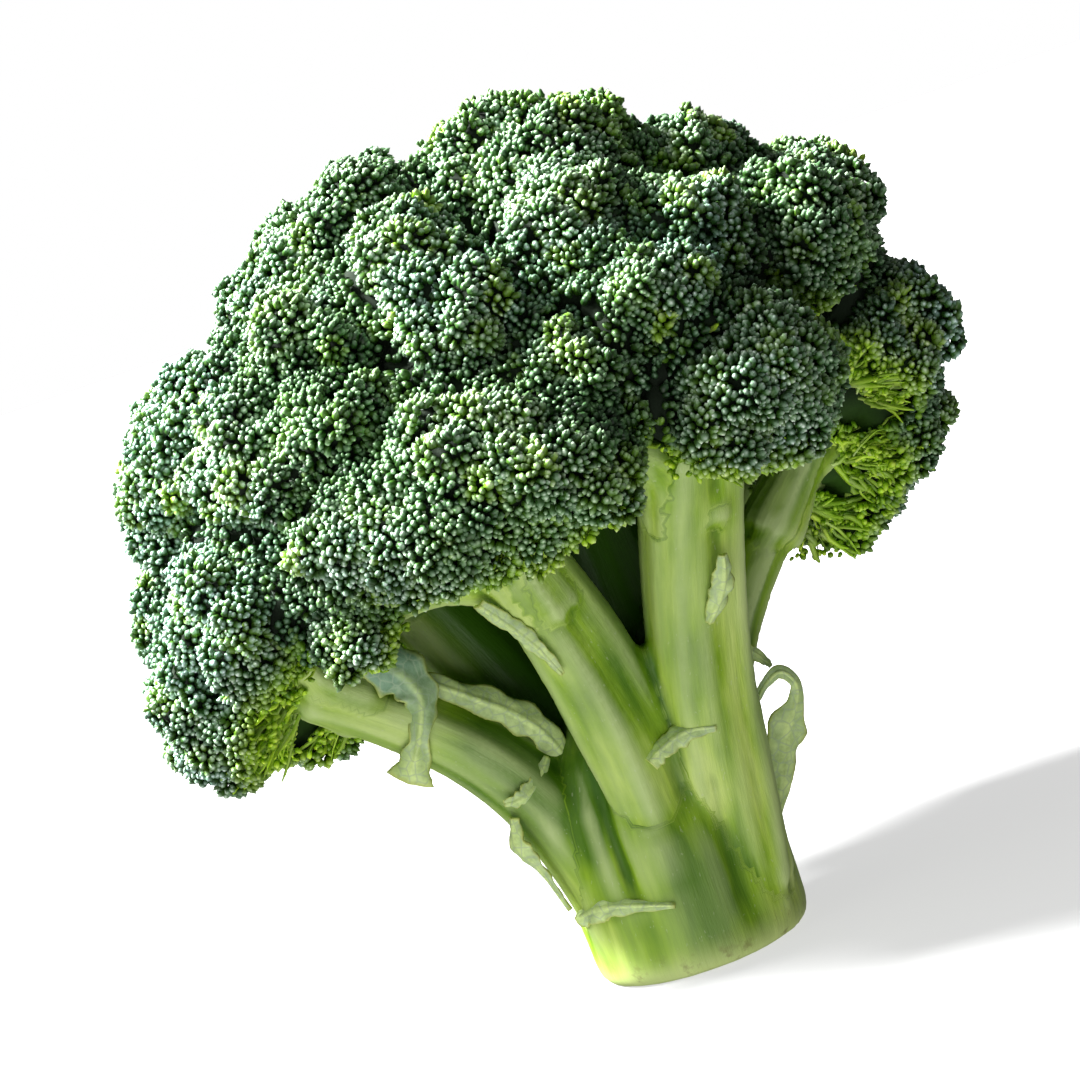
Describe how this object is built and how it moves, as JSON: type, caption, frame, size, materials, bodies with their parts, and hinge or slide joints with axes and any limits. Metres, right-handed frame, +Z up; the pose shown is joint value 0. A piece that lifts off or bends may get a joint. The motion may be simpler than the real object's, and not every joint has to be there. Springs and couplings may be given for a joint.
{
  "type": "broccoli head",
  "caption": "Broccoli head: thick pale green stalk cut flat across, forking into limbs that carry a dense dome of dark green florets, with small curled leaves.",
  "frame": {"origin": "middle of the flat cut end of the stalk", "axes": "+Z up along the stalk from the cut end to the crown; +X to the right and +Y to the back as seen from the side of the long low limb, which reaches out to -X"},
  "size_m": [0.1687, 0.1518, 0.1656],
  "materials": {
    "flower_buds": "matt, blue-grey bloom on the bud tips over dark green, yellow-green between the buds",
    "stalk_flesh": "waxy, pale green with fibrous streaks and paler ribs",
    "leaf": "waxy, blue-green with paler veins and torn yellow-green edges"
  },
  "bodies": {
    "root": {"bract_front": "leaf", "bract_left": "leaf", "bract_right": "leaf", "collar_left": "leaf", "floret_back_1": "flower_buds", "floret_back_2": "flower_buds", "floret_back_3": "flower_buds", "floret_back_4": "flower_buds", "floret_back_5": "flower_buds", "floret_back_6": "flower_buds", "floret_back_left_1": "flower_buds", "floret_back_left_2": "flower_buds", "floret_back_left_3": "flower_buds", "floret_back_right_1": "flower_buds", "floret_back_right_2": "flower_buds", "floret_back_right_3": "flower_buds", "floret_front_left_1": "flower_buds", "floret_front_left_2": "flower_buds", "floret_front_left_3": "flower_buds", "floret_front_left_4": "flower_buds", "floret_front_left_5": "flower_buds", "floret_front_left_6": "flower_buds", "floret_front_left_7": "flower_buds", "floret_front_right_1": "flower_buds", "floret_front_right_2": "flower_buds", "floret_front_right_3": "flower_buds", "floret_front_right_4": "flower_buds", "floret_front_right_5": "flower_buds", "floret_left_high_1": "flower_buds", "floret_left_high_2": "flower_buds", "floret_left_high_3": "flower_buds", "floret_left_low_1": "flower_buds", "floret_left_low_2": "flower_buds", "floret_left_low_3": "flower_buds", "floret_left_low_4": "flower_buds", "floret_right_1": "flower_buds", "floret_right_2": "flower_buds", "floret_right_3": "flower_buds", "floret_right_high_1": "flower_buds", "floret_right_high_2": "flower_buds", "floret_right_high_3": "flower_buds", "floret_right_high_4": "flower_buds", "floret_right_high_5": "flower_buds", "floret_top_1": "flower_buds", "floret_top_2": "flower_buds", "floret_top_3": "flower_buds", "floret_top_4": "flower_buds", "floret_top_5": "flower_buds", "floret_top_6": "flower_buds", "floret_top_7": "flower_buds", "leaf_inner": "leaf", "leaf_left": "leaf", "leaf_right": "leaf", "scar_front": "leaf", "scar_low": "leaf", "sheath_left": "leaf", "stalk": "stalk_flesh"}
  },
  "joints": []
}
